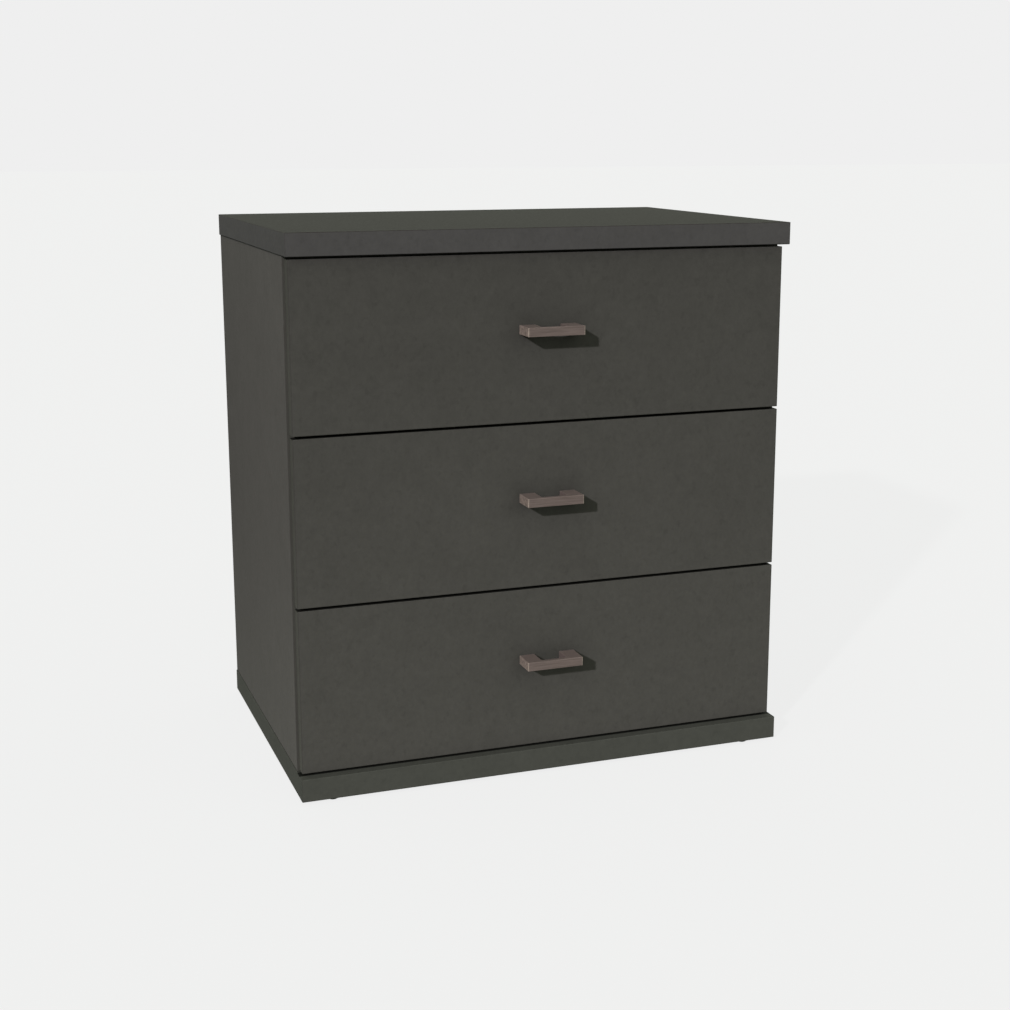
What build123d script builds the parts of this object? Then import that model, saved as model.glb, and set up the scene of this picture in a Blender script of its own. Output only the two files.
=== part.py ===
from build123d import *
import os

# Nightstand with three drawers on telescopic runners.
# Frame: +X to the right, +Y to the back, +Z up. The drawer fronts face -Y.
# The origin is on the floor, under the middle of the whole object. Millimetres.

# ---- Outside ----
BODY_HEIGHT = 640.0        # underside of the base slab to the top face
GLIDE_HEIGHT = 5.0
TOP_WIDTH = 602.0
TOP_DEPTH = 410.0
TOP_THICKNESS = 26.0
BASE_WIDTH = 601.0
BASE_DEPTH = 412.0
BASE_THICKNESS = 27.0
BODY_WIDTH = 599.0         # over the two side panels
FACE_DEPTH = 399.0         # back of the cabinet to the face of the drawer fronts
EDGE_RADIUS = 0.8          # softened edge of every laminated board

# ---- Boards ----
SIDE_THICKNESS = 16.0
RAIL_THICKNESS = 16.0
RAIL_WIDTH = 80.0
BACK_THICKNESS = 3.0
BACK_REBATE = 8.0          # how far the back panel reaches behind each side panel
BACK_PLAY = 0.5

# ---- Drawer fronts ----
FRONT_WIDTH = 594.0
FRONT_HEIGHT = 192.0
FRONT_THICKNESS = 14.0
FRONT_GAP = 3.0            # between two fronts
BASE_GAP = 2.0             # between the lowest front and the base slab
BUMPER_GAP = 2.0           # between a closed front and the side panels

# ---- Handles ----
HANDLE_LENGTH = 68.0
HANDLE_PROJECTION = 29.5
HANDLE_HEIGHT = 10.5
HANDLE_BAR = 5.5
HANDLE_LEG = 18.5
HANDLE_RISE = 10.5         # centre of the handle above the centre of its front
HANDLE_EDGE = 0.5
HANDLE_CORNER = 2.0        # inner corner between bar and leg
HANDLE_HOLE_X = 24.0       # each screw from the middle of the handle
HANDLE_HOLE_DEPTH = 12.0

# ---- Drawer boxes ----
BOX_DEPTH = 355.0
BOX_HEIGHT = 130.0
BOX_RISE = 24.0            # lower edge of the box above the lower edge of its front
BOX_THICKNESS = 12.0
BOTTOM_THICKNESS = 3.0
BOTTOM_RISE = 10.0         # underside of the bottom above the lower edge of the box
GROOVE_DEPTH = 5.0
GROOVE_PLAY = 0.1

# ---- Runners, measured from the side panel towards the drawer ----
RUNNER_SPACE = 12.7
RUNNER_LENGTH = 350.0
RUNNER_SETBACK = 2.0       # behind the front edge of the side panels
RUNNER_RISE = 65.0         # centre line above the lower edge of the box
SHEET = 1.2
BEND_RADIUS = 2.4
OUTER_HEIGHT = 45.0
OUTER_LIP = 10.0
MIDDLE_HEIGHT = 37.0
MIDDLE_WEB = 2.4
MIDDLE_LIP = 11.0
INNER_HEIGHT = 26.0
INNER_LIP = 5.6
CAGE_LENGTH = 110.0
CAGE_END = 20.0            # from the end of the middle member to its ball cage
CAGE_WIDTH = 3.5
CAGE_PLAY = 0.3
OUTER_CAGE_DEPTH = 5.5
INNER_CAGE_DEPTH = 7.0

# ---- Fasteners ----
PLAY = 0.05                # all round, between a fastener and its hole
OVERRUN = 1.0              # how far a cutter passes the side that it opens
RECESS_LENGTH = 1.1        # of a cross drive, as shares of the radius of the head
RECESS_WIDTH = 0.25
HANDLE_SCREW = {"head": 4.0, "head_height": 2.4, "shank": 2.0, "length": 24.0}
TOP_SCREW = {"head": 4.0, "head_height": 2.4, "shank": 2.0, "length": 36.0}
RUNNER_SCREW = {"head": 3.2, "head_height": 0.8, "shank": 1.75, "length": 12.0}
INNER_SCREW = {"head": 3.2, "head_height": 1.6, "shank": 1.75, "length": 10.0}
BASE_SCREW = {"head": 5.0, "head_height": 3.5, "shank": 3.3, "length": 70.0}
BACK_SCREW = {"head": 2.8, "head_height": 1.5, "shank": 1.4, "length": 16.0}
BOX_SCREW = {"head": 3.6, "head_height": 2.2, "shank": 1.9, "length": 40.0}
DOWEL_RADIUS = 4.0
DOWEL_LENGTH = 30.0
DOWEL_HOLE = 16.0
CAM_RADIUS = 7.4
CAM_REACH = 24.0           # from the joint to the centre of the cam
CAM_BOLT_THREAD = 2.9
CAM_BOLT_SHANK = 2.4
CAM_BOLT_HEAD = 3.2
CAM_BOLT_GRIP = 10.0       # length of thread in the other board
CAM_BORE = 3.5
BUMPER_RADIUS = 4.0
BUMPER_THICKNESS = 1.8
BUMPER_DROP = 12.0         # below the upper edge of its front
GLIDE_RADIUS = 8.0
GLIDE_ROUND = 4.5
GLIDE_NAIL_RADIUS = 1.0
GLIDE_NAIL_LENGTH = 16.0
GLIDE_X = 262.0
GLIDE_FRONT_INSET = 14.0
GLIDE_REAR_INSET = 20.0

# ---- Places of the fasteners along the boards ----
RUNNER_HOLES = (35.0, 160.0, 315.0)        # from the front end of a runner
BACK_SCREW_RISES = (60.0, 215.0, 370.0, 525.0)   # above the base slab
BACK_RAIL_SCREW_X = (-200.0, 0.0, 200.0)
TOP_SCREW_X = (-180.0, 180.0)
BOTTOM_SCREW_X = (-180.0, 0.0, 180.0)
DOWEL_INSET = 40.0         # from the front edge of a side panel, and from the back panel
BASE_SCREW_OFFSET = 25.0   # behind a dowel
CAM_INSETS = (18.0, 62.0)  # as for the dowels
CAM_RISES = (25.0, 108.0)  # cam fittings of a drawer front above the lower edge of the box
BOX_SCREW_RISES = (28.0, 108.0)

# ---- Places worked out from the sizes above ----
Y_BACK = (FACE_DEPTH + HANDLE_PROJECTION) / 2
Y_FACE = Y_BACK - FACE_DEPTH
Y_FRONT_BACK = Y_FACE + FRONT_THICKNESS
Y_BODY_FRONT = Y_FRONT_BACK + BUMPER_GAP
Y_PANEL = Y_BACK - BACK_THICKNESS
Y_BOX_BACK = Y_FRONT_BACK + BOX_DEPTH
Z_FLOOR = GLIDE_HEIGHT + BASE_THICKNESS
Z_TOP = GLIDE_HEIGHT + BODY_HEIGHT
Z_CEILING = Z_TOP - TOP_THICKNESS
X_OUTSIDE = BODY_WIDTH / 2
X_INSIDE = X_OUTSIDE - SIDE_THICKNESS
X_SIDE_MIDDLE = X_OUTSIDE - SIDE_THICKNESS / 2
X_BOX_OUTSIDE = X_INSIDE - RUNNER_SPACE
X_BOX_INSIDE = X_BOX_OUTSIDE - BOX_THICKNESS
Y_RUNNER_FRONT = Y_BODY_FRONT + RUNNER_SETBACK
RUNNER_HOLE_Y = [Y_RUNNER_FRONT + along for along in RUNNER_HOLES]
BACK_SCREW_Z = [Z_FLOOR + rise for rise in BACK_SCREW_RISES]
DOWEL_Y = [Y_BODY_FRONT + DOWEL_INSET, Y_PANEL - DOWEL_INSET]
CAM_Y = [Y_BODY_FRONT + inset for inset in CAM_INSETS] + [Y_PANEL - inset for inset in CAM_INSETS]

LEFT = -1
RIGHT = 1
SIDES = {"left": LEFT, "right": RIGHT}
LEVELS = {"bottom": 0, "middle": 1, "top": 2}

START = (Align.CENTER, Align.CENTER, Align.MIN)
END = (Align.CENTER, Align.CENTER, Align.MAX)


# ---- Helpers ----
def block(x_range, y_range, z_range):
    """A box between two corners, given as a pair of values along each axis."""
    sizes = [abs(high - low) for low, high in (x_range, y_range, z_range)]
    middle = [(low + high) / 2 for low, high in (x_range, y_range, z_range)]
    return Pos(*middle) * Box(*sizes)


def board(x_range, y_range, z_range):
    """A laminated board with softened edges."""
    plain = block(x_range, y_range, z_range)
    return fillet(plain.edges(), EDGE_RADIUS)


def rod(radius, length, start, direction):
    return Plane(origin=start, z_dir=direction) * Cylinder(radius, length, align=START)


def cross_recess(radius, depth):
    """The cutter for a cross drive, centred on the outer face of a head."""
    slot = Box(RECESS_LENGTH * radius, RECESS_WIDTH * radius, depth)
    return slot + Rot(0, 0, 90) * slot


def pan_screw(kind, seat, direction):
    """A screw whose head stands on the surface at seat and whose shank runs along direction."""
    shank = Cylinder(kind["shank"], kind["length"], align=START)
    head = Cylinder(kind["head"], kind["head_height"], align=END)
    recess = Pos(0, 0, -kind["head_height"]) * cross_recess(kind["head"], kind["head_height"])
    return Plane(origin=seat, z_dir=direction) * (shank + head - recess)


def pan_hole(kind, seat, direction):
    return rod(kind["shank"] + PLAY, kind["length"] + PLAY, seat, direction)


def flush_body(kind, seat, direction, play):
    """The outer shape of a countersunk screw whose head ends level with the surface at seat."""
    shank = Cylinder(kind["shank"] + play, kind["length"] + play, align=START)
    head = Cone(kind["head"] + play, kind["shank"] + play, kind["head_height"], align=START)
    return Plane(origin=seat, z_dir=direction) * (shank + head)


def flush_screw(kind, seat, direction):
    recess = Plane(origin=seat, z_dir=direction) * cross_recess(kind["head"], kind["head_height"])
    return flush_body(kind, seat, direction, 0) - recess


def flush_hole(kind, seat, direction):
    return flush_body(kind, seat, direction, PLAY)


def cam_set(joint, direction, face_offset, face_direction):
    """A cam housing and its bolt. The bolt crosses the joint at `joint` and runs along
    `direction` to the cam, whose outer face is `face_offset` away along `face_direction`."""
    bolt_start = Vector(*joint) - Vector(*direction) * CAM_BOLT_GRIP
    centre = Vector(*joint) + Vector(*direction) * CAM_REACH
    face = centre + Vector(*face_direction) * face_offset
    inward = Vector(*face_direction) * -1
    thickness = face_offset + CAM_BORE - PLAY
    housing = rod(CAM_RADIUS, thickness, face, inward)
    housing -= rod(CAM_BORE, CAM_REACH, joint, direction)
    housing -= Plane(origin=face, z_dir=inward) * cross_recess(CAM_RADIUS / 2, face_offset / 2)
    bolt = rod(CAM_BOLT_THREAD, CAM_BOLT_GRIP, bolt_start, direction)
    bolt += rod(CAM_BOLT_SHANK, CAM_REACH, joint, direction)
    neck = Vector(*joint) + Vector(*direction) * (CAM_REACH - CAM_BOLT_HEAD)
    bolt += rod(CAM_BOLT_HEAD, CAM_BOLT_HEAD - PLAY, neck, direction)
    return [housing, bolt]


def cam_pocket(joint, direction, face_offset, face_direction):
    """The two drillings for a cam set in the board that holds the cam."""
    centre = Vector(*joint) + Vector(*direction) * CAM_REACH
    face = centre + Vector(*face_direction) * face_offset
    inward = Vector(*face_direction) * -1
    pocket = rod(CAM_RADIUS + PLAY, face_offset + CAM_BORE, face, inward)
    return pocket + rod(CAM_BORE, CAM_REACH, joint, direction)


def cam_thread_hole(joint, direction):
    """The drilling for the bolt of a cam set in the board on the other side of the joint."""
    backward = Vector(*direction) * -1
    return rod(CAM_BOLT_THREAD + PLAY, CAM_BOLT_GRIP + PLAY, joint, backward)


def channel(side, web, lip, height, z_middle):
    """A rolled steel channel along Y. Its web and the free edges of its flanges are at these
    distances from the side panel."""
    reach = abs(lip - web)
    outline = RectangleRounded(2 * reach, height, BEND_RADIUS)
    hollow = RectangleRounded(2 * (reach - SHEET), height - 2 * SHEET, BEND_RADIUS - SHEET)
    web_half = Pos(reach / 2, 0) * Rectangle(reach, height)
    section = (outline - hollow) & web_half
    towards_web = side if web < lip else -side
    open_edge = (side * (X_INSIDE - lip), Y_RUNNER_FRONT + RUNNER_LENGTH, z_middle)
    plane = Plane(origin=open_edge, x_dir=(towards_web, 0, 0), z_dir=(0, -1, 0))
    return extrude(plane * section, RUNNER_LENGTH)


def save(name, solids):
    shape = solids[0] if len(solids) == 1 else Compound(children=solids)
    shape.label = name
    export_step(shape, f"parts/{name}.step")


# ---- Places of the fasteners ----
def front_bottom(level):
    return Z_FLOOR + BASE_GAP + level * (FRONT_HEIGHT + FRONT_GAP)


def box_bottom(level):
    return front_bottom(level) + BOX_RISE


def runner_height(level):
    return box_bottom(level) + RUNNER_RISE


def handle_height(level):
    return front_bottom(level) + FRONT_HEIGHT / 2 + HANDLE_RISE


def base_screw_seats():
    rows = [y + BASE_SCREW_OFFSET for y in DOWEL_Y]
    return [(side * X_SIDE_MIDDLE, y, GLIDE_HEIGHT) for side in SIDES.values() for y in rows]


def dowel_starts():
    """Lower ends of the dowels, under the top slab and over the base slab."""
    starts = []
    for side in SIDES.values():
        for y in DOWEL_Y:
            for z in (Z_FLOOR, Z_CEILING):
                starts.append((side * X_SIDE_MIDDLE, y, z - DOWEL_LENGTH / 2))
    return starts


def dowel_hole(start):
    margin = DOWEL_HOLE - DOWEL_LENGTH / 2
    x, y, z = start
    return rod(DOWEL_RADIUS + PLAY, DOWEL_LENGTH + 2 * margin, (x, y, z - margin), (0, 0, 1))


def rail_joints(side):
    """Where the cam bolts of the rails cross the inner face of one side panel."""
    return [(side * X_INSIDE, y, Z_CEILING - RAIL_THICKNESS / 2) for y in CAM_Y]


def top_screw_seats():
    rail_middles = (Y_BODY_FRONT + RAIL_WIDTH / 2, Y_PANEL - RAIL_WIDTH / 2)
    return [(x, y, Z_CEILING - RAIL_THICKNESS) for x in TOP_SCREW_X for y in rail_middles]


def back_side_seats(side):
    return [(side * (X_INSIDE + BACK_REBATE / 2), Y_BACK, z) for z in BACK_SCREW_Z]


def back_rail_seats():
    return [(x, Y_BACK, Z_CEILING - RAIL_THICKNESS / 2) for x in BACK_RAIL_SCREW_X]


def runner_screw_seats(side, level):
    return [(side * (X_INSIDE - SHEET), y, runner_height(level)) for y in RUNNER_HOLE_Y]


def inner_screw_seats(side, level):
    x = side * (X_BOX_OUTSIDE + SHEET)
    return [(x, y, runner_height(level)) for y in RUNNER_HOLE_Y]


def front_joints(side, level):
    """Where the cam bolts of a drawer front meet the end of one box side."""
    x = side * (X_BOX_OUTSIDE - BOX_THICKNESS / 2)
    return [(x, Y_FRONT_BACK, box_bottom(level) + rise) for rise in CAM_RISES]


def box_corner_seats(side, level):
    y = Y_BOX_BACK - BOX_THICKNESS / 2
    return [(side * X_BOX_OUTSIDE, y, box_bottom(level) + rise) for rise in BOX_SCREW_RISES]


def bottom_seats(level):
    z = box_bottom(level) + BOTTOM_RISE
    return [(x, Y_BOX_BACK - BOX_THICKNESS / 2, z) for x in BOTTOM_SCREW_X]


def handle_screw_seats(level):
    return [(side * HANDLE_HOLE_X, Y_FRONT_BACK, handle_height(level)) for side in SIDES.values()]


def glide_places():
    rows = (Y_BACK - BASE_DEPTH + GLIDE_FRONT_INSET, Y_BACK - GLIDE_REAR_INSET)
    return [(side * GLIDE_X, y) for side in SIDES.values() for y in rows]


# ---- Cabinet ----
def make_top_slab():
    half = TOP_WIDTH / 2
    slab = board((-half, half), (Y_BACK - TOP_DEPTH, Y_BACK), (Z_CEILING, Z_TOP))
    for start in dowel_starts():
        slab -= dowel_hole(start)
    for seat in top_screw_seats():
        slab -= pan_hole(TOP_SCREW, seat, (0, 0, 1))
    return slab


def make_base_slab():
    half = BASE_WIDTH / 2
    slab = board((-half, half), (Y_BACK - BASE_DEPTH, Y_BACK), (GLIDE_HEIGHT, Z_FLOOR))
    for start in dowel_starts():
        slab -= dowel_hole(start)
    for seat in base_screw_seats():
        slab -= flush_hole(BASE_SCREW, seat, (0, 0, 1))
    for x, y in glide_places():
        slab -= rod(GLIDE_NAIL_RADIUS + PLAY, GLIDE_NAIL_LENGTH + PLAY, (x, y, GLIDE_HEIGHT), (0, 0, 1))
    return slab


def make_side_panel(side):
    x_range = sorted((side * X_INSIDE, side * X_OUTSIDE))
    panel = board(x_range, (Y_BODY_FRONT, Y_BACK), (Z_FLOOR, Z_CEILING))
    rebate_x = sorted((side * (X_INSIDE - OVERRUN), side * (X_INSIDE + BACK_REBATE)))
    rebate_z = (Z_FLOOR - OVERRUN, Z_CEILING + OVERRUN)
    panel -= block(rebate_x, (Y_PANEL, Y_BACK + OVERRUN), rebate_z)
    for start in dowel_starts():
        panel -= dowel_hole(start)
    for seat in base_screw_seats():
        panel -= flush_hole(BASE_SCREW, seat, (0, 0, 1))
    for joint in rail_joints(side):
        panel -= cam_thread_hole(joint, (-side, 0, 0))
    for seat in back_side_seats(side):
        panel -= flush_hole(BACK_SCREW, seat, (0, -1, 0))
    for level in LEVELS.values():
        for seat in runner_screw_seats(side, level):
            panel -= pan_hole(RUNNER_SCREW, seat, (side, 0, 0))
    return panel


def make_back_panel():
    half = X_INSIDE + BACK_REBATE - BACK_PLAY
    panel = block((-half, half), (Y_PANEL, Y_BACK), (Z_FLOOR + BACK_PLAY, Z_CEILING - BACK_PLAY))
    for seat in back_side_seats(LEFT) + back_side_seats(RIGHT) + back_rail_seats():
        panel -= flush_hole(BACK_SCREW, seat, (0, -1, 0))
    return panel


def make_top_rail(y_range):
    rail = block((-X_INSIDE, X_INSIDE), y_range, (Z_CEILING - RAIL_THICKNESS, Z_CEILING))
    for side in SIDES.values():
        for joint in rail_joints(side):
            if y_range[0] < joint[1] < y_range[1]:
                rail -= cam_pocket(joint, (-side, 0, 0), RAIL_THICKNESS / 2, (0, 0, -1))
    for seat in top_screw_seats():
        rail -= pan_hole(TOP_SCREW, seat, (0, 0, 1))
    for seat in back_rail_seats():
        rail -= flush_hole(BACK_SCREW, seat, (0, -1, 0))
    return rail


def make_glide(x, y):
    pad = Pos(x, y, 0) * Cylinder(GLIDE_RADIUS, GLIDE_HEIGHT, align=START)
    pad = fillet(pad.edges().group_by(Axis.Z)[0], GLIDE_ROUND)
    return pad + rod(GLIDE_NAIL_RADIUS, GLIDE_NAIL_LENGTH, (x, y, GLIDE_HEIGHT), (0, 0, 1))


def make_bumpers():
    bumpers = []
    for side in SIDES.values():
        for level in LEVELS.values():
            z = front_bottom(level) + FRONT_HEIGHT - BUMPER_DROP
            place = (side * X_SIDE_MIDDLE, Y_BODY_FRONT, z)
            bumpers.append(rod(BUMPER_RADIUS, BUMPER_THICKNESS, place, (0, -1, 0)))
    return bumpers


# ---- Runners ----
def make_outer_runner(side, level):
    member = channel(side, 0, OUTER_LIP, OUTER_HEIGHT, runner_height(level))
    for seat in runner_screw_seats(side, level):
        member -= pan_hole(RUNNER_SCREW, seat, (side, 0, 0))
    return member


def make_inner_runner(side, level):
    member = channel(side, RUNNER_SPACE, INNER_LIP, INNER_HEIGHT, runner_height(level))
    for seat in inner_screw_seats(side, level):
        member -= pan_hole(INNER_SCREW, seat, (-side, 0, 0))
    return member


def make_cage(side, depth, z_low, z_high, y_start):
    """A ball cage on the middle member, between two flanges."""
    x_range = sorted(side * (X_INSIDE - place) for place in (depth, depth + CAGE_WIDTH))
    return block(x_range, (y_start, y_start + CAGE_LENGTH), (z_low, z_high))


def make_middle_runner(side, level):
    z = runner_height(level)
    solids = [channel(side, MIDDLE_WEB, MIDDLE_LIP, MIDDLE_HEIGHT, z)]
    rear_cage = Y_RUNNER_FRONT + RUNNER_LENGTH - CAGE_END - CAGE_LENGTH
    front_cage = Y_RUNNER_FRONT + CAGE_END
    for up in (-1, 1):
        outer_low = z + up * MIDDLE_HEIGHT / 2
        outer_high = z + up * (OUTER_HEIGHT / 2 - SHEET - CAGE_PLAY)
        solids.append(make_cage(side, OUTER_CAGE_DEPTH, *sorted((outer_low, outer_high)), rear_cage))
        inner_low = z + up * (INNER_HEIGHT / 2 + CAGE_PLAY)
        inner_high = z + up * (MIDDLE_HEIGHT / 2 - SHEET)
        solids.append(make_cage(side, INNER_CAGE_DEPTH, *sorted((inner_low, inner_high)), front_cage))
    return solids


# ---- Drawers ----
def make_drawer_front(level):
    half = FRONT_WIDTH / 2
    z_low = front_bottom(level)
    front = board((-half, half), (Y_FACE, Y_FRONT_BACK), (z_low, z_low + FRONT_HEIGHT))
    front -= bottom_groove(level)
    for seat in handle_screw_seats(level):
        front -= pan_hole(HANDLE_SCREW, seat, (0, -1, 0))
    for side in SIDES.values():
        for joint in front_joints(side, level):
            front -= cam_thread_hole(joint, (0, 1, 0))
    return front


def make_handle(level):
    half = HANDLE_LENGTH / 2
    tip = Y_FACE - HANDLE_PROJECTION
    z = handle_height(level)
    z_range = (z - HANDLE_HEIGHT / 2, z + HANDLE_HEIGHT / 2)
    outline = block((-half, half), (tip, Y_FACE), z_range)
    outline = fillet(outline.edges().filter_by(Axis.Z).sort_by(Axis.Y)[:2], HANDLE_EDGE)
    inner_half = half - HANDLE_LEG
    gap = block((-inner_half, inner_half), (tip + HANDLE_BAR, Y_FACE + HANDLE_CORNER), z_range)
    gap = fillet(gap.edges().filter_by(Axis.Z).sort_by(Axis.Y)[:2], HANDLE_CORNER)
    handle = outline - gap
    rims = handle.edges().filter_by(Axis.Z, reverse=True)
    rims = [edge for edge in rims if edge.center().Y < Y_FACE - HANDLE_EDGE]
    handle = fillet(rims, HANDLE_EDGE)
    for side in SIDES.values():
        start = (side * HANDLE_HOLE_X, Y_FACE, z)
        handle -= rod(HANDLE_SCREW["shank"] + PLAY, HANDLE_HOLE_DEPTH, start, (0, -1, 0))
    return handle


def bottom_groove(level):
    """The space that the drawer bottom takes in the boards around it."""
    half = X_BOX_INSIDE + GROOVE_DEPTH
    z = box_bottom(level) + BOTTOM_RISE
    z_range = (z - GROOVE_PLAY, z + BOTTOM_THICKNESS + GROOVE_PLAY)
    return block((-half, half), (Y_FRONT_BACK - GROOVE_DEPTH, Y_BOX_BACK + OVERRUN), z_range)


def make_box_side(side, level):
    x_range = sorted((side * X_BOX_OUTSIDE, side * X_BOX_INSIDE))
    z = box_bottom(level)
    panel = block(x_range, (Y_FRONT_BACK, Y_BOX_BACK), (z, z + BOX_HEIGHT))
    panel -= bottom_groove(level)
    for joint in front_joints(side, level):
        panel -= cam_pocket(joint, (0, 1, 0), BOX_THICKNESS / 2, (-side, 0, 0))
    for seat in inner_screw_seats(side, level):
        panel -= pan_hole(INNER_SCREW, seat, (-side, 0, 0))
    for seat in box_corner_seats(side, level):
        panel -= flush_hole(BOX_SCREW, seat, (-side, 0, 0))
    return panel


def make_box_back(level):
    z = box_bottom(level)
    y_range = (Y_BOX_BACK - BOX_THICKNESS, Y_BOX_BACK)
    z_range = (z + BOTTOM_RISE + BOTTOM_THICKNESS, z + BOX_HEIGHT)
    panel = block((-X_BOX_INSIDE, X_BOX_INSIDE), y_range, z_range)
    for side in SIDES.values():
        for seat in box_corner_seats(side, level):
            panel -= flush_hole(BOX_SCREW, seat, (-side, 0, 0))
    for seat in bottom_seats(level):
        panel -= flush_hole(BACK_SCREW, seat, (0, 0, 1))
    return panel


def make_box_floor(level):
    half = X_BOX_INSIDE + GROOVE_DEPTH - BACK_PLAY
    z = box_bottom(level) + BOTTOM_RISE
    y_range = (Y_FRONT_BACK - GROOVE_DEPTH + BACK_PLAY, Y_BOX_BACK)
    panel = block((-half, half), y_range, (z, z + BOTTOM_THICKNESS))
    for seat in bottom_seats(level):
        panel -= flush_hole(BACK_SCREW, seat, (0, 0, 1))
    return panel


def make_front_fittings(level):
    fittings = []
    for side in SIDES.values():
        for joint in front_joints(side, level):
            fittings += cam_set(joint, (0, 1, 0), BOX_THICKNESS / 2, (-side, 0, 0))
    return fittings


def make_box_screws(level):
    screws = [flush_screw(BACK_SCREW, seat, (0, 0, 1)) for seat in bottom_seats(level)]
    for side in SIDES.values():
        inward = (-side, 0, 0)
        screws += [flush_screw(BOX_SCREW, seat, inward) for seat in box_corner_seats(side, level)]
        screws += [pan_screw(INNER_SCREW, seat, inward) for seat in inner_screw_seats(side, level)]
    return screws


# ---- Write every sub-part ----
os.makedirs("parts", exist_ok=True)

save("top_slab", [make_top_slab()])
save("base_slab", [make_base_slab()])
for side_name, side in SIDES.items():
    save(f"{side_name}_side_panel", [make_side_panel(side)])
save("back_panel", [make_back_panel()])
save("front_top_rail", [make_top_rail((Y_BODY_FRONT, Y_BODY_FRONT + RAIL_WIDTH))])
save("rear_top_rail", [make_top_rail((Y_PANEL - RAIL_WIDTH, Y_PANEL))])
save("glides", [make_glide(x, y) for x, y in glide_places()])
save("bumpers", make_bumpers())
save("dowels", [rod(DOWEL_RADIUS, DOWEL_LENGTH, start, (0, 0, 1)) for start in dowel_starts()])
save("base_screws", [flush_screw(BASE_SCREW, seat, (0, 0, 1)) for seat in base_screw_seats()])
save("top_screws", [pan_screw(TOP_SCREW, seat, (0, 0, 1)) for seat in top_screw_seats()])

back_seats = back_side_seats(LEFT) + back_side_seats(RIGHT) + back_rail_seats()
save("back_panel_screws", [flush_screw(BACK_SCREW, seat, (0, -1, 0)) for seat in back_seats])

rail_fittings = []
for side in SIDES.values():
    for joint in rail_joints(side):
        rail_fittings += cam_set(joint, (-side, 0, 0), RAIL_THICKNESS / 2, (0, 0, -1))
save("rail_cam_fittings", rail_fittings)

runner_screws = []
for side in SIDES.values():
    for level in LEVELS.values():
        seats = runner_screw_seats(side, level)
        runner_screws += [pan_screw(RUNNER_SCREW, seat, (side, 0, 0)) for seat in seats]
save("runner_screws", runner_screws)

for level_name, level in LEVELS.items():
    drawer = f"{level_name}_drawer"
    save(f"{drawer}_front", [make_drawer_front(level)])
    save(f"{drawer}_handle", [make_handle(level)])
    handle_seats = handle_screw_seats(level)
    save(f"{drawer}_handle_screws", [pan_screw(HANDLE_SCREW, seat, (0, -1, 0)) for seat in handle_seats])
    save(f"{drawer}_box_back", [make_box_back(level)])
    save(f"{drawer}_box_floor", [make_box_floor(level)])
    save(f"{drawer}_cam_fittings", make_front_fittings(level))
    save(f"{drawer}_box_screws", make_box_screws(level))
    for side_name, side in SIDES.items():
        save(f"{drawer}_{side_name}_box_side", [make_box_side(side, level)])
        save(f"{drawer}_{side_name}_inner_runner", [make_inner_runner(side, level)])
        save(f"{level_name}_{side_name}_middle_runner", make_middle_runner(side, level))
        save(f"{level_name}_{side_name}_outer_runner", [make_outer_runner(side, level)])
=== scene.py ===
import math

import bpy
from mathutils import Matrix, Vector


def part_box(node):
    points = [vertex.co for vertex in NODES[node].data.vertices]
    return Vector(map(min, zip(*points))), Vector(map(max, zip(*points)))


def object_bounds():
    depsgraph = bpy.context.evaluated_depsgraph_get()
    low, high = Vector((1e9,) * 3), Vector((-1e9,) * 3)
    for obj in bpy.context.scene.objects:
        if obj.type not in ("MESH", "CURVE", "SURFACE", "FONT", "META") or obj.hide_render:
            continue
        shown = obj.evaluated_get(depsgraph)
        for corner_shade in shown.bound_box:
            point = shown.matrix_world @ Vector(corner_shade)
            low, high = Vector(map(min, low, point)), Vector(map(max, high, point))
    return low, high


# Looks of a dark grey nightstand with three drawers. Metres, in the frame of the CAD model:
# +X right, +Y back, +Z up, drawer fronts towards -Y, floor at z = 0.

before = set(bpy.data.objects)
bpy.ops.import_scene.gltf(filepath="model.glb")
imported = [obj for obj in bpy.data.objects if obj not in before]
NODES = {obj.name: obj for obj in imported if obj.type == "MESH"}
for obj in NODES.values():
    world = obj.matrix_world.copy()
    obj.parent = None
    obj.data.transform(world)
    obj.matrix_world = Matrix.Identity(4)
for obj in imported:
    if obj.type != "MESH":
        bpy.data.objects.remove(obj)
CAD_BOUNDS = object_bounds()
MM = 0.001
LEVELS = ("top", "middle", "bottom")
SIDES = ("left", "right")


# ---------------------------------------------------------------- colours and shader graphs
def srgb(red, green, blue):
    """Turns display values from 0 to 255 into the linear colour that shaders use."""
    linear = []
    for value in (red, green, blue):
        share = value / 255
        linear.append(share / 12.92 if share <= 0.04045 else ((share + 0.055) / 1.055) ** 2.4)
    return (*linear, 1.0)


def shade(colour, factor):
    return (*[channel * factor for channel in colour[:3]], 1.0)


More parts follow.
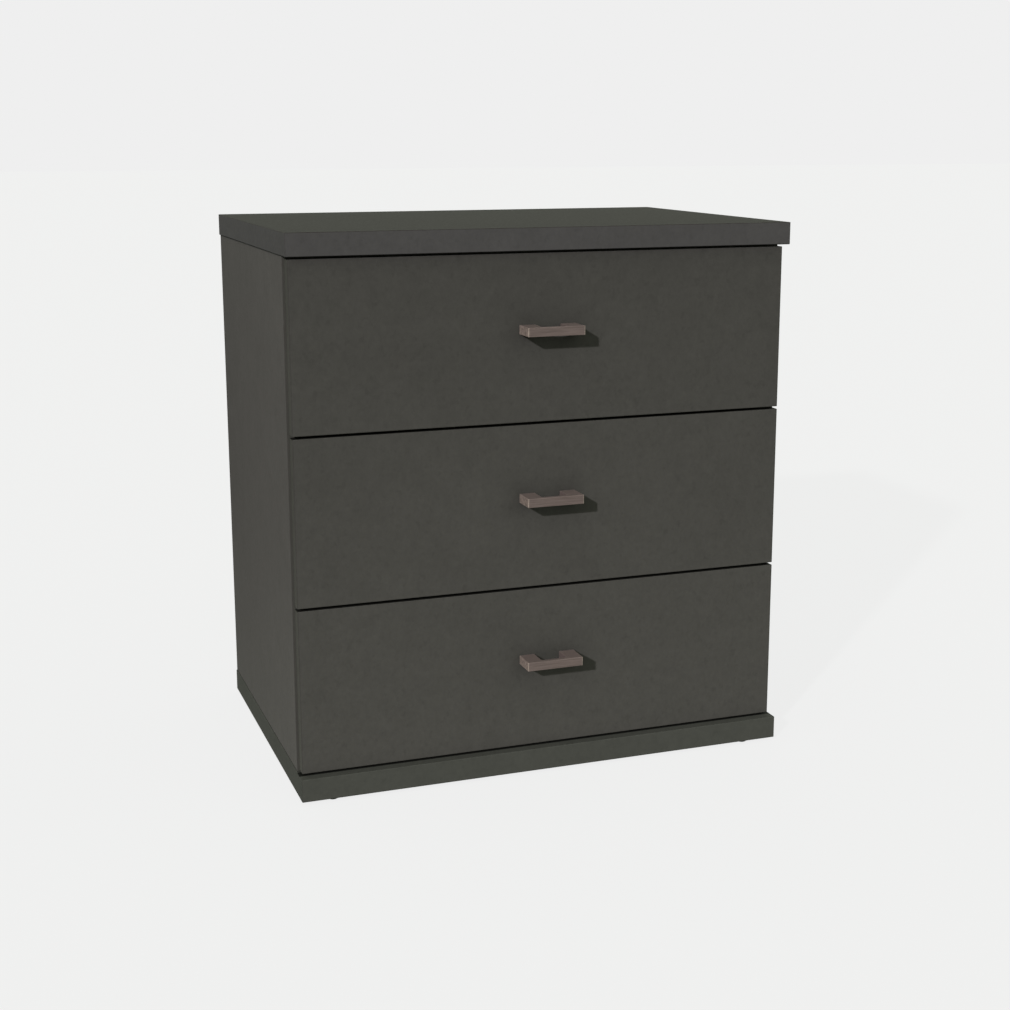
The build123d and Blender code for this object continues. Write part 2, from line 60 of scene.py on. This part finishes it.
class Graph:
    """One node material, built socket by socket."""

    def __init__(self, name):
        self.material = bpy.data.materials.new(name)
        self.material.use_nodes = True
        self.tree = self.material.node_tree
        self.shader = self.tree.nodes["Principled BSDF"]
        self.position = self.node("ShaderNodeTexCoord").outputs["Object"]
        split = self.node("ShaderNodeSeparateXYZ")
        self.feed(split.inputs[0], self.position)
        self.along = split.outputs

    def node(self, kind, **settings):
        made = self.tree.nodes.new(kind)
        for name, value in settings.items():
            setattr(made, name, value)
        return made

    def feed(self, socket, value):
        """Sets a socket to a number or colour, or links it to another socket."""
        if isinstance(value, bpy.types.NodeSocket):
            self.tree.links.new(value, socket)
        else:
            socket.default_value = value

    def math(self, operation, first, second=0.0):
        made = self.node("ShaderNodeMath", operation=operation)
        self.feed(made.inputs[0], first)
        self.feed(made.inputs[1], second)
        return made.outputs[0]

    def ramp(self, value, from_low, from_high, to_low=0.0, to_high=1.0, smooth=True):
        style = "SMOOTHSTEP" if smooth else "LINEAR"
        made = self.node("ShaderNodeMapRange", interpolation_type=style, clamp=True)
        for name, given in (
            ("Value", value),
            ("From Min", from_low),
            ("From Max", from_high),
            ("To Min", to_low),
            ("To Max", to_high),
        ):
            self.feed(made.inputs[name], given)
        return made.outputs["Result"]

    def mix(self, share, first, second, blend="MIX"):
        made = self.node("ShaderNodeMix", data_type="RGBA", blend_type=blend, clamp_factor=True)
        self.feed(made.inputs["Factor"], share)
        self.feed(made.inputs[6], first)
        self.feed(made.inputs[7], second)
        return made.outputs[2]

    def moved(self, offset, scale=(1, 1, 1)):
        made = self.node("ShaderNodeMapping")
        self.feed(made.inputs["Vector"], self.position)
        self.feed(made.inputs["Location"], offset)
        self.feed(made.inputs["Scale"], scale)
        return made.outputs["Vector"]

    def noise(self, place, size, detail=4.0, roughness=0.55, distortion=0.0):
        """Cloudy noise whose blotches are about `size` metres across."""
        made = self.node("ShaderNodeTexNoise")
        for name, given in (
            ("Vector", place),
            ("Scale", 1 / size),
            ("Detail", detail),
            ("Roughness", roughness),
            ("Distortion", distortion),
        ):
            self.feed(made.inputs[name], given)
        return made.outputs["Fac"]

    def bump(self, height, distance, strength):
        made = self.node("ShaderNodeBump")
        self.feed(made.inputs["Height"], height)
        self.feed(made.inputs["Distance"], distance)
        self.feed(made.inputs["Strength"], strength)
        return made.outputs["Normal"]

    def finish(self, **sockets):
        for name, value in sockets.items():
            self.feed(self.shader.inputs[name.replace("_", " ").title().replace("Ior", "IOR")], value)
        return self.material


# ---------------------------------------------------------------- laminated boards
EDGE_BAND = 1.0 * MM       # thickness of the plastic band round a board
BAND_LINE = 0.35 * MM      # half width of the dark glue line beside it
BAND_LINE_SHARE = 0.35     # how dark that line is
FACE_DEPTH = 0.35 * MM     # a point this near to a broad side lies on it
CORNER_SHADE = 0.9 * MM          # width of the painted shade along an upright edge
CORNER_SHADE_SHARES = {"lying": 0.25, "standing": 0.55}   # how dark it is, by the way the board is built in
WEAR_AND_HIGHLIGHT_REACH = 2.5 * MM      # of the rubbed patches along the edge of a broad side, which are partly wear and partly a painted highlight
CLOUD = 26 * MM            # sizes of the mottling's parts
DRIFT = 150 * MM
STAIN = 0.25 * CLOUD
SPOT = 0.3 * CLOUD
GRAIN = 0.9 * MM
SIDE_SQUASH = 0.6          # how much lower the clouds are than the size given; below 1 they are taller
SQUASH = 0.85
SEED_STEP = (0.37, 0.61, 0.23)   # moves the clouds from board to board
HANDLE_SHADE = 13 * MM             # reach of the painted shade that darkens a front round its handle
HANDLE_SHADE_SHARE = 0.24          # how dark the painted shade is at the handle
WEAR_AND_HIGHLIGHT_STRENGTH = 0.12
# strength of the glue lines and of the painted shade along upright edges
LINE_AND_SHADE_STRENGTH = 0.6
# strength of the painted shade, near black, in the gaps round the fronts
PAINTED_GAP_SHADE_STRENGTH = 0.95
LAMINATE_ROUGHNESS = (0.56, 0.66)
LAMINATE_SHEEN = 0.06      # level of the specular reflection
SIDE_PAINTED_LIGHT = (0.0, 0.08)  # painted light: how much paler a board is painted towards the floor and towards the front
FRONT_PAINTED_LIGHT = (0.06, 0.0)
NO_PAINTED_LIGHT = (0.0, 0.0)
END_PAINTED_SHADES = {"top_slab": 0.84, "base_slab": 0.78}   # painted shade: how dark a slab's two ends are painted against its other sides
X_AXIS, Y_AXIS, Z_AXIS = 0, 1, 2


def side_distances(graph, low, high):
    """Distance of the shaded point from the nearer side of a box, along each axis."""
    distances = []
    for axis in (X_AXIS, Y_AXIS, Z_AXIS):
        from_low = graph.math("SUBTRACT", graph.along[axis], low[axis])
        from_high = graph.math("SUBTRACT", high[axis], graph.along[axis])
        distances.append(graph.math("MINIMUM", from_low, from_high))
    return distances


def on_side(graph, distance, share=1.0):
    """The given share on a side of a box and 0 away from it."""
    return graph.ramp(distance, FACE_DEPTH, 2 * FACE_DEPTH, share, 0.0)


def mottled_tone_and_painted_light(graph, place, flecks, painted_gradient):
    """Factor for soft clouds, stains and spots, and for painted light that makes a board paler towards the
    floor and towards the front.
    """
    lower, forward = painted_gradient
    clouds = graph.noise(place, CLOUD, detail=6.0, roughness=0.72, distortion=0.4)
    drift = graph.noise(place, DRIFT, detail=2.0)
    stains = graph.noise(place, STAIN, detail=4.0, roughness=0.6, distortion=0.2)
    spots = graph.noise(place, SPOT, detail=2.0, roughness=0.6, distortion=0.2)
    low, high = CAD_BOUNDS
    tone_and_painted_light = 1.0
    for value, at_low, at_high, from_tone, to_tone in (
        (clouds, 0.3, 0.7, 0.94, 1.06),
        (drift, 0.3, 0.7, 0.98, 1.02),
        (stains, 0.3, 0.7, 1.05, 0.95),
        (spots, 0.56, 0.72, 1.01, 0.92),
        (flecks, 0.3, 0.7, 0.97, 1.03),
        # painted light: the next two make a board paler towards the floor and towards the front
        (graph.along[Z_AXIS], low[Z_AXIS], high[Z_AXIS], 1 + lower, 1 - lower),
        (graph.along[Y_AXIS], low[Y_AXIS], high[Y_AXIS], 1 + forward, 1 - forward),
    ):
        share = graph.ramp(value, at_low, at_high, from_tone, to_tone, smooth=False)
        tone_and_painted_light = graph.math("MULTIPLY", tone_and_painted_light, share)
    return tone_and_painted_light


def painted_handle_shade(graph, handle):
    """Factor of painted shade that darkens a drawer front towards its handle."""
    low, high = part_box(handle)
    beyond = []
    for axis in (X_AXIS, Z_AXIS):
        middle = (low[axis] + high[axis]) / 2
        half = (high[axis] - low[axis]) / 2
        offset = graph.math("ABSOLUTE", graph.math("SUBTRACT", graph.along[axis], middle))
        outside = graph.math("MAXIMUM", graph.math("SUBTRACT", offset, half), 0.0)
        beyond.append(graph.math("POWER", outside, 2.0))
    distance = graph.math("SQRT", graph.math("ADD", *beyond))
    painted_gradient = graph.math("POWER", math.e, graph.math("DIVIDE", distance, -HANDLE_SHADE))
    return graph.math("SUBTRACT", 1.0, graph.math("MULTIPLY", painted_gradient, HANDLE_SHADE_SHARE))


def painted_hidden_edge_shade(graph, distances):
    """Share of painted shade, near black, on the upper and lower edge band of a drawer front, behind its
    face.
    """
    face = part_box("top_drawer_front")[0][Y_AXIS]
    behind = graph.ramp(graph.along[Y_AXIS], face + 0.2 * MM, face + 0.8 * MM)
    return graph.math("MULTIPLY", on_side(graph, distances[Z_AXIS], 0.85), behind)


def painted_shade_under_fronts(graph):
    """Share of painted shade, near black, in the narrow zone of the base slab that lies under the closed
    fronts.
    """
    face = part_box("top_drawer_front")[0][Y_AXIS]
    start = graph.ramp(graph.along[Y_AXIS], face - 1.2 * MM, face - 0.2 * MM)
    end = graph.ramp(graph.along[Y_AXIS], face + 10 * MM, face + 14 * MM, 0.9, 0.0)
    below = graph.math("SUBTRACT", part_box("base_slab")[1][Z_AXIS], graph.along[Z_AXIS])
    return graph.math("MULTIPLY", graph.math("MULTIPLY", start, end), on_side(graph, below))


def painted_arris_shade(graph, slab, rim, share):
    """Share of painted shade, near black, on the lower arris of a slab, on its upright sides only."""
    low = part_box(slab)[0][Z_AXIS]
    near = graph.ramp(graph.along[Z_AXIS], low + 0.3 * MM, low + 1.3 * MM, share, 0.0)
    return graph.math("MULTIPLY", near, graph.ramp(rim, 0.6 * MM, 1.4 * MM, 1.0, 0.0))


def painted_gap_shade(graph, node, distances, rim):
    """Share of painted shade, near black, on the sides of the narrow gaps between the fronts and the slabs.
    """
    if node.endswith("_drawer_front"):
        return painted_hidden_edge_shade(graph, distances)
    if node == "base_slab":
        return graph.math("MAXIMUM", painted_shade_under_fronts(graph), painted_arris_shade(graph, node, rim, 0.35))
    if node == "top_slab":
        return painted_arris_shade(graph, node, rim, 1.0)
    return 0.0


def glue_lines_and_corner_shade(graph, distances, rim, on_face, stance):
    """Share of the dark glue line beside the edge band, and of the painted shade along upright edges."""
    from_line = graph.math("ABSOLUTE", graph.math("SUBTRACT", rim, EDGE_BAND))
    line = graph.ramp(from_line, 0.0, BAND_LINE, BAND_LINE_SHARE, 0.0)
    line = graph.math("MULTIPLY", line, on_face)
    from_corner = graph.math("MAXIMUM", distances[X_AXIS], distances[Y_AXIS])
    corner_shade = graph.ramp(from_corner, 0.6 * CORNER_SHADE, 1.4 * CORNER_SHADE, CORNER_SHADE_SHARES[stance], 0.0)
    return graph.math("MAXIMUM", line, corner_shade)


def worn_and_highlit_rim(graph, rim, flecks, on_face):
    """Share of the paler, rubbed patches along the edge of a broad side; they are partly wear and partly a
    painted highlight.
    """
    near = graph.ramp(rim, 0.0, WEAR_AND_HIGHLIGHT_REACH, 1.0, 0.0)
    patches = graph.math("MULTIPLY", near, graph.ramp(flecks, 0.45, 0.7))
    return graph.math("MULTIPLY", patches, on_face)


def laminate(node, thickness_axis, face, band, seed, painted_gradient=NO_PAINTED_LIGHT, handle=None):
    """Matt laminate on the broad sides of a board and a plastic band on its narrow ones, with painted shade
    and highlight mixed into its colour.
    """
    graph = Graph(node + "_laminate")
    distances = side_distances(graph, *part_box(node))
    across = [distance for axis, distance in enumerate(distances) if axis != thickness_axis]
    rim = graph.math("MINIMUM", *across)
    on_face = on_side(graph, distances[thickness_axis])

    squash = SIDE_SQUASH if thickness_axis == X_AXIS else SQUASH
    place = graph.moved([step * seed for step in SEED_STEP], (1.0, 1.0, squash))
    flecks = graph.noise(place, 4 * GRAIN, detail=3.0, roughness=0.7)
    tone_and_painted_light = mottled_tone_and_painted_light(graph, place, flecks, painted_gradient)
    # painted shade: darkens the front round its handle
    if handle is not None:
        tone_and_painted_light = graph.math("MULTIPLY", tone_and_painted_light, painted_handle_shade(graph, handle))
    # painted shade: darkens a slab's two ends
    if node in END_PAINTED_SHADES:
        at_shaded_end = on_side(graph, distances[X_AXIS])
        tone_and_painted_light = graph.math("MULTIPLY", tone_and_painted_light, graph.ramp(at_shaded_end, 0.0, 1.0, 1.0, END_PAINTED_SHADES[node]))
    tint_and_painted_light = graph.node("ShaderNodeCombineColor")
    for channel in tint_and_painted_light.inputs:
        graph.feed(channel, tone_and_painted_light)

    colour = graph.mix(on_face, band, face)
    colour = graph.mix(1.0, colour, tint_and_painted_light.outputs[0], blend="MULTIPLY")
    stance = "lying" if thickness_axis == Z_AXIS else "standing"
    # rubbed patches that are also a painted highlight, glue lines with painted shade along upright edges, and
    # painted shade in the gaps
    for share, strength, target in (
        (worn_and_highlit_rim(graph, rim, flecks, on_face), WEAR_AND_HIGHLIGHT_STRENGTH, shade(face, 2.2)),
        (glue_lines_and_corner_shade(graph, distances, rim, on_face, stance), LINE_AND_SHADE_STRENGTH, shade(face, 0.2)),
        (painted_gap_shade(graph, node, distances, rim), PAINTED_GAP_SHADE_STRENGTH, shade(face, 0.03)),
    ):
        colour = graph.mix(graph.math("MULTIPLY", share, strength), colour, target)

    fine = graph.noise(place, GRAIN, detail=3.0, roughness=0.6)
    roughness = graph.ramp(flecks, 0.3, 0.7, *LAMINATE_ROUGHNESS, smooth=False)
    normal = graph.bump(fine, 0.05 * MM, 0.6)
    sockets = {"base_color": colour, "roughness": roughness, "normal": normal}
    return graph.finish(specular_ior_level=LAMINATE_SHEEN, **sockets)


def dress(node, material):
    """Gives every material slot of a CAD node the same finish."""
    slots = NODES[node].material_slots
    if not slots:
        NODES[node].data.materials.append(material)
    for slot in slots:
        slot.material = material


FRONT_GREY = srgb(65.1, 62.8, 61.2)
FRONT_BAND = srgb(62.7, 60.9, 58.3)
BODY_GREY = srgb(69.7, 66.5, 65.8)
BODY_BAND = srgb(63.1, 61.5, 58.8)
SLAB_GREY = srgb(43.1, 38.7, 39.2)
SLAB_BAND = srgb(67.5, 65.1, 66.2)
BASE_GREY = srgb(64.2, 63.6, 60.9)
HANDLE_DARK = srgb(87.4, 74.1, 72.8)
HANDLE_LIGHT = srgb(109.1, 93.5, 92.0)
# pale brushing hairs, also used as painted light on the handles' upper side
HANDLE_HAIR_AND_TOP_LIGHT = srgb(125.8, 110.6, 108.6)
# painted light: the handles' blotchy cut ends, painted paler than the bar, between these two
HANDLE_LIT_END_DARK = srgb(114.2, 100.3, 95.8)
HANDLE_LIT_END_LIGHT = srgb(152.9, 135.4, 128.9)
# painted highlight along the handles' upright edges
HANDLE_EDGE_HIGHLIGHT = srgb(186, 170, 160)
HANDLE_METALLIC = 0.35
BOX_GREY = srgb(166, 160, 160)
BOX_BAND = srgb(158, 152, 152)


def dress_boards():
    dress("top_slab", laminate("top_slab", Z_AXIS, SLAB_GREY, SLAB_BAND, 1))
    dress("base_slab", laminate("base_slab", Z_AXIS, BASE_GREY, BASE_GREY, 2))
    for count, side in enumerate(SIDES):
        panel = f"{side}_side_panel"
        dress(panel, laminate(panel, X_AXIS, BODY_GREY, BODY_BAND, 3 + count, SIDE_PAINTED_LIGHT))
    for count, rail in enumerate(("front_top_rail", "rear_top_rail")):
        dress(rail, laminate(rail, Z_AXIS, BODY_GREY, BODY_BAND, 5 + count))
    for count, level in enumerate(LEVELS):
        front = f"{level}_drawer_front"
        handle = f"{level}_drawer_handle"
        skin = laminate(front, Y_AXIS, FRONT_GREY, FRONT_BAND, 7 + count, FRONT_PAINTED_LIGHT, handle)
        dress(front, skin)
        back = f"{level}_drawer_box_back"
        dress(back, laminate(back, Y_AXIS, BOX_GREY, BOX_BAND, 10 + count))
        for side in SIDES:
            box_side = f"{level}_drawer_{side}_box_side"
            dress(box_side, laminate(box_side, X_AXIS, BOX_GREY, BOX_BAND, 13 + count))


# ---------------------------------------------------------------- other materials
def hardboard():
    """Lacquered hardboard with pressed fibres."""
    graph = Graph("hardboard")
    place = graph.moved((0.2, 0.5, 0.1))
    fibres = graph.noise(graph.moved((0.1, 0.3, 0.7), (1.0, 1.0, 0.35)), 2.2 * MM, detail=5.0, roughness=0.7)
    clouds = graph.noise(place, 40 * MM, detail=4.0)
    colour = graph.mix(graph.ramp(fibres, 0.35, 0.7), srgb(134, 123, 117), srgb(154, 143, 136))
    colour = graph.mix(graph.ramp(clouds, 0.3, 0.8, 0.0, 0.35), colour, srgb(122, 111, 105))
    normal = graph.bump(fibres, 0.12 * MM, 0.5)
    roughness = graph.ramp(fibres, 0.3, 0.7, 0.6, 0.75)
    return graph.finish(base_color=colour, roughness=roughness, specular_ior_level=0.3, normal=normal)


def brushed_handle(handle):
    """Rose-brown metal, brushed along the bar, with blotchy cut ends; painted light makes the cut ends and
    the upper side paler, and a painted highlight runs along the upright edges.
    """
    graph = Graph(handle + "_metal")
    low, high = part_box(handle)
    distances = side_distances(graph, low, high)
    from_top = graph.math("SUBTRACT", high[Z_AXIS], graph.along[Z_AXIS])
    from_highlit_edge = graph.math("MAXIMUM", distances[X_AXIS], distances[Y_AXIS])
    broad = graph.noise(graph.moved((0.3, 0.1, 0.6), (0.03, 1.0, 1.0)), 1.0 * MM, detail=3.0, roughness=0.6)
    hairs = graph.noise(graph.moved((0.8, 0.4, 0.2), (0.02, 1.0, 1.0)), 0.35 * MM, detail=4.0, roughness=0.65)
    blotches = graph.noise(graph.moved((0.5, 0.2, 0.9)), 2.5 * MM, detail=3.0, roughness=0.6)
    lit_cut_end = graph.mix(graph.ramp(blotches, 0.35, 0.65), HANDLE_LIT_END_DARK, HANDLE_LIT_END_LIGHT)

    colour = graph.mix(graph.ramp(broad, 0.3, 0.7), HANDLE_DARK, HANDLE_LIGHT)
    # brushing hairs, painted light on the cut ends and the upper side, and a painted highlight along the
    # upright edges
    for share, target in (
        (graph.ramp(hairs, 0.35, 0.75, 0.0, 0.5), HANDLE_HAIR_AND_TOP_LIGHT),
        (on_side(graph, distances[X_AXIS]), lit_cut_end),
        (on_side(graph, from_top, 0.35), HANDLE_HAIR_AND_TOP_LIGHT),
        (graph.ramp(from_highlit_edge, 0.4 * MM, 1.1 * MM, 0.35, 0.0), HANDLE_EDGE_HIGHLIGHT),
    ):
        colour = graph.mix(share, colour, target)
    roughness = graph.ramp(hairs, 0.3, 0.7, 0.42, 0.56)
    normal = graph.bump(hairs, 0.03 * MM, 0.7)
    return graph.finish(base_color=colour, metallic=HANDLE_METALLIC, roughness=roughness, normal=normal)


def zinc(name, colour, roughness_low, roughness_high):
    """Zinc-plated steel with a faint spangle and rolling marks."""
    graph = Graph(name)
    spangle = graph.noise(graph.moved((0.4, 0.2, 0.9)), 7 * MM, detail=2.0, roughness=0.8, distortion=0.6)
    rolled = graph.noise(graph.moved((0.1, 0.7, 0.3), (1.0, 0.03, 1.0)), 0.6 * MM, detail=3.0)
    mixed = graph.mix(graph.ramp(spangle, 0.3, 0.7), shade(colour, 0.9), colour)
    mixed = graph.mix(graph.ramp(rolled, 0.4, 0.7, 0.0, 0.3), mixed, shade(colour, 1.15))
    roughness = graph.ramp(spangle, 0.3, 0.7, roughness_low, roughness_high)
    normal = graph.bump(rolled, 0.02 * MM, 0.5)
    return graph.finish(base_color=mixed, metallic=1.0, roughness=roughness, normal=normal)


def beech():
    graph = Graph("dowel_wood")
    grain = graph.noise(graph.moved((0.2, 0.2, 0.2), (1.0, 1.0, 0.06)), 1.0 * MM, detail=4.0)
    colour = graph.mix(graph.ramp(grain, 0.35, 0.7), srgb(188, 150, 108), srgb(206, 172, 130))
    normal = graph.bump(grain, 0.1 * MM, 0.5)
    return graph.finish(base_color=colour, roughness=0.7, normal=normal)


def moulded(name, colour, roughness):
    """Moulded plastic with a fine spark-eroded texture."""
    graph = Graph(name)
    texture = graph.noise(graph.moved((0.6, 0.1, 0.4)), 0.5 * MM, detail=3.0)
    clouds = graph.noise(graph.moved((0.2, 0.8, 0.4)), 6 * MM, detail=2.0)
    mixed = graph.mix(graph.ramp(clouds, 0.3, 0.7), shade(colour, 0.9), colour)
    normal = graph.bump(texture, 0.04 * MM, 0.5)
    rough = graph.ramp(texture, 0.3, 0.7, roughness - 0.05, roughness + 0.05)
    return graph.finish(base_color=mixed, roughness=rough, normal=normal)


def dress_fittings():
    board_skin = hardboard()
    runner_steel = zinc("runner_steel", srgb(190, 191, 193), 0.28, 0.42)
    fastener_steel = zinc("fastener_steel", srgb(176, 176, 178), 0.3, 0.45)
    dress("back_panel", board_skin)
    dress("dowels", beech())
    dress("glides", moulded("glide_plastic", srgb(34, 34, 34), 0.5))
    dress("bumpers", moulded("bumper_plastic", srgb(150, 150, 148), 0.4))
    for node in ("base_screws", "top_screws", "back_panel_screws", "rail_cam_fittings", "runner_screws"):
        dress(node, fastener_steel)
    for level in LEVELS:
        drawer = f"{level}_drawer"
        dress(f"{drawer}_handle", brushed_handle(f"{drawer}_handle"))
        dress(f"{drawer}_box_floor", board_skin)
        for kind in ("handle_screws", "cam_fittings", "box_screws"):
            dress(f"{drawer}_{kind}", fastener_steel)
        for side in SIDES:
            dress(f"{drawer}_{side}_inner_runner", runner_steel)
            dress(f"{level}_{side}_middle_runner", runner_steel)
            dress(f"{level}_{side}_outer_runner", runner_steel)


# ---------------------------------------------------------------- floor, light and camera
BACKGROUND = srgb(239, 239, 239)
FLOOR_SIZE = 60.0
FLOOR_GREY = srgb(66, 66, 66)
FLOOR_GLOW = 0.941         # share of the background's brightness that the floor gives off by itself
SUN_DIRECTION = (0.65, 0.655, -0.41)   # the way the light travels
SUN_STRENGTH = 3.1
SUN_ANGLE = 2.0            # degrees; a larger angle blurs the shadows
SKY_STRENGTH = 0.69
FILL_TINT = (0.99, 1.09, 0.90, 1.0)     # of all light that isn't the sun's
BOUNCE_CENTRE = (0.0, -0.45, 0.0)       # of the light that comes up from the floor
BOUNCE_REACH = (0.4, 2.0)
BOUNCE_GLOW = 0.31
CAMERA_PLACE = (-0.65337, -1.90133, 0.75056)
CAMERA_YAW = 19.988        # to the right of straight ahead, degrees
CAMERA_PITCH = -12.05
CAMERA_LENS = 57.8685
CAMERA_SHIFT = (-0.018606, -0.027957)


def add_object(name, data):
    made = bpy.data.objects.new(name, data)
    bpy.context.scene.collection.objects.link(made)
    return made


def make_floor():
    """A pale floor that looks as bright as the backdrop and gives the object little light."""
    half = FLOOR_SIZE / 2
    mesh = bpy.data.meshes.new("floor")
    corners = [(-half, -half, 0), (half, -half, 0), (half, half, 0), (-half, half, 0)]
    mesh.from_pydata(corners, [], [(0, 1, 2, 3)])
    graph = Graph("pale_floor")
    seen = graph.node("ShaderNodeLightPath").outputs["Is Camera Ray"]
    away = graph.node("ShaderNodeVectorMath", operation="DISTANCE")
    graph.feed(away.inputs[0], graph.position)
    graph.feed(away.inputs[1], BOUNCE_CENTRE)
    bounce = graph.ramp(away.outputs["Value"], *BOUNCE_REACH, BOUNCE_GLOW, 0.0)
    lit = graph.math("MULTIPLY", graph.math("SUBTRACT", 1.0, seen), bounce)
    glow = graph.math("ADD", graph.math("MULTIPLY", seen, FLOOR_GLOW), lit)
    graph.finish(
        base_color=FLOOR_GREY,
        roughness=0.9,
        specular_ior_level=0.0,
        emission_color=graph.mix(seen, FILL_TINT, BACKGROUND),
        emission_strength=glow,
    )
    mesh.materials.append(graph.material)
    add_object("floor", mesh)


def make_sun():
    sun = bpy.data.lights.new("key_sun", "SUN")
    sun.energy = SUN_STRENGTH
    sun.angle = math.radians(SUN_ANGLE)
    across, along, down = SUN_DIRECTION
    tilt = math.atan2(math.hypot(across, along), -down)
    lamp = add_object("key_sun", sun)
    lamp.rotation_euler = (tilt, 0, -math.atan2(across, along))
    return lamp


def make_flag(lamp):
    """Lets the sun through the top slab, and stops it again with a hidden plane behind the fronts' face."""
    (left, _, low), (right, back, _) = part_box("top_slab")
    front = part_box("top_drawer_front")[0][1]
    height = low + 0.1 * MM
    mesh = bpy.data.meshes.new("sun_flag")
    corners = [(left, front, height), (right, front, height), (right, back, height), (left, back, height)]
    mesh.from_pydata(corners, [], [(0, 1, 2, 3)])
    flag = add_object("sun_flag", mesh)
    flag.visible_camera = False
    blockers = bpy.data.collections.new("sun_blockers")
    blockers.objects.link(NODES["top_slab"])
    blockers.collection_objects[0].light_linking.link_state = "EXCLUDE"
    lamp.light_linking.blocker_collection = blockers


def make_sky():
    world = bpy.data.worlds.new("studio")
    world.use_nodes = True
    tree = world.node_tree
    seen = tree.nodes["Background"]
    seen.inputs["Color"].default_value = BACKGROUND
    lighting = tree.nodes.new("ShaderNodeBackground")
    lighting.inputs["Color"].default_value = FILL_TINT
    lighting.inputs["Strength"].default_value = SKY_STRENGTH
    path = tree.nodes.new("ShaderNodeLightPath")
    choose = tree.nodes.new("ShaderNodeMixShader")
    tree.links.new(path.outputs["Is Camera Ray"], choose.inputs[0])
    tree.links.new(lighting.outputs[0], choose.inputs[1])
    tree.links.new(seen.outputs[0], choose.inputs[2])
    tree.links.new(choose.outputs[0], tree.nodes["World Output"].inputs["Surface"])
    bpy.context.scene.world = world


def make_camera():
    data = bpy.data.cameras.new("camera")
    data.sensor_width = 36
    data.lens = CAMERA_LENS
    data.shift_x, data.shift_y = CAMERA_SHIFT
    data.clip_end = 100
    camera = add_object("camera", data)
    camera.location = CAMERA_PLACE
    camera.rotation_euler = (math.radians(90 + CAMERA_PITCH), 0, math.radians(-CAMERA_YAW))
    bpy.context.scene.camera = camera


dress_boards()
dress_fittings()
make_floor()
make_flag(make_sun())
make_sky()
make_camera()
bpy.context.scene.view_settings.view_transform = "Standard"
